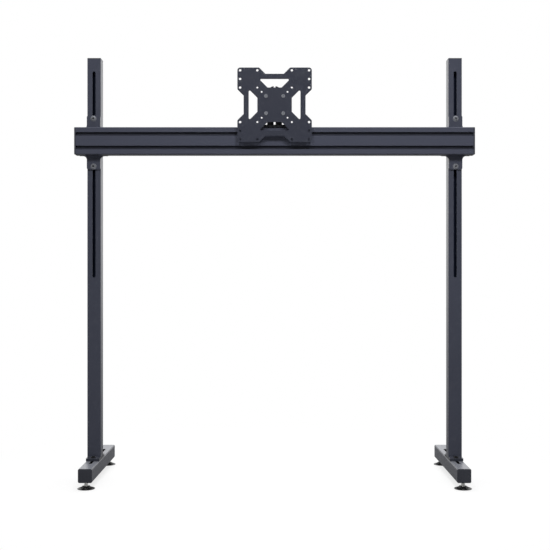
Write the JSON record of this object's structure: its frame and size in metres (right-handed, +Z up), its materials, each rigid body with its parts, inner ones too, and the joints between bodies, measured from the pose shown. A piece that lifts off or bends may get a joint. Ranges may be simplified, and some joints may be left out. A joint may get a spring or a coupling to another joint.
{
  "type": "free-standing single monitor stand",
  "caption": "Free-standing stand for one monitor: slotted uprights on levelling feet, a height-adjustable T-slot crossbar and a tilting VESA plate.",
  "frame": {"origin": "on the floor under the middle of the feet", "axes": "+X to the viewer's right along the crossbar, +Y to the back, +Z up"},
  "size_m": [1.176, 0.41, 1.257],
  "materials": {
    "paint": "satin powder coat",
    "bar_finish": "dark anodised",
    "plastic": "fine grain",
    "rubber": "matt",
    "zinc": "bright zinc",
    "bolt_steel": "dark zinc"
  },
  "bodies": {
    "frame": {"left_foot_tube": "paint", "left_foot_front_cap": "plastic", "left_foot_rear_cap": "plastic", "left_foot_inserts": "zinc", "left_upright": "paint", "left_upright_cap": "plastic", "left_base_plate": "paint", "left_base_bolts": "bolt_steel", "right_foot_tube": "paint", "right_foot_front_cap": "plastic", "right_foot_rear_cap": "plastic", "right_foot_inserts": "zinc", "right_upright": "paint", "right_upright_cap": "plastic", "right_base_plate": "paint", "right_base_bolts": "bolt_steel"},
    "crossbar": {"crossbar": "bar_finish", "crossbar_left_cap": "plastic", "left_bar_bracket": "paint", "left_bracket_bolts": "bolt_steel", "left_bar_bolts": "bolt_steel", "crossbar_right_cap": "plastic", "right_bar_bracket": "paint", "right_bracket_bolts": "bolt_steel", "right_bar_bolts": "bolt_steel"},
    "screen_mount": {"mount_fork": "paint", "mount_base_bolts": "bolt_steel", "tilt_clevis": "paint", "clevis_bolts": "bolt_steel", "tilt_pin": "bolt_steel"},
    "screen_tilt": {"vesa_plate": "paint", "tilt_yoke": "paint", "yoke_screws": "bolt_steel"},
    "left_front_leveller": {"left_front_stud": "zinc", "left_front_pad": "rubber"},
    "left_rear_leveller": {"left_rear_stud": "zinc", "left_rear_pad": "rubber"},
    "right_front_leveller": {"right_front_stud": "zinc", "right_front_pad": "rubber"},
    "right_rear_leveller": {"right_rear_stud": "zinc", "right_rear_pad": "rubber"}
  },
  "joints": [
    {"name": "bar_height", "type": "slide", "parent": "frame", "child": "crossbar", "axis": [0, 0, 1], "range_m": [-0.325, 0.135]},
    {"name": "mount_shift", "type": "slide", "parent": "crossbar", "child": "screen_mount", "axis": [1, 0, 0], "range_m": [-0.53, 0.53]},
    {"name": "screen_tilt", "type": "hinge", "parent": "screen_mount", "child": "screen_tilt", "pos_m": [0, -0.111, 1.1039], "axis": [1, 0, 0], "range_deg": [-15, 10]},
    {"name": "left_front_leveller_screw", "type": "slide", "parent": "frame", "child": "left_front_leveller", "axis": [0, 0, -1], "range_m": [-0.004, 0.012]},
    {"name": "left_rear_leveller_screw", "type": "slide", "parent": "frame", "child": "left_rear_leveller", "axis": [0, 0, -1], "range_m": [-0.004, 0.012]},
    {"name": "right_front_leveller_screw", "type": "slide", "parent": "frame", "child": "right_front_leveller", "axis": [0, 0, -1], "range_m": [-0.004, 0.012]},
    {"name": "right_rear_leveller_screw", "type": "slide", "parent": "frame", "child": "right_rear_leveller", "axis": [0, 0, -1], "range_m": [-0.004, 0.012]}
  ]
}
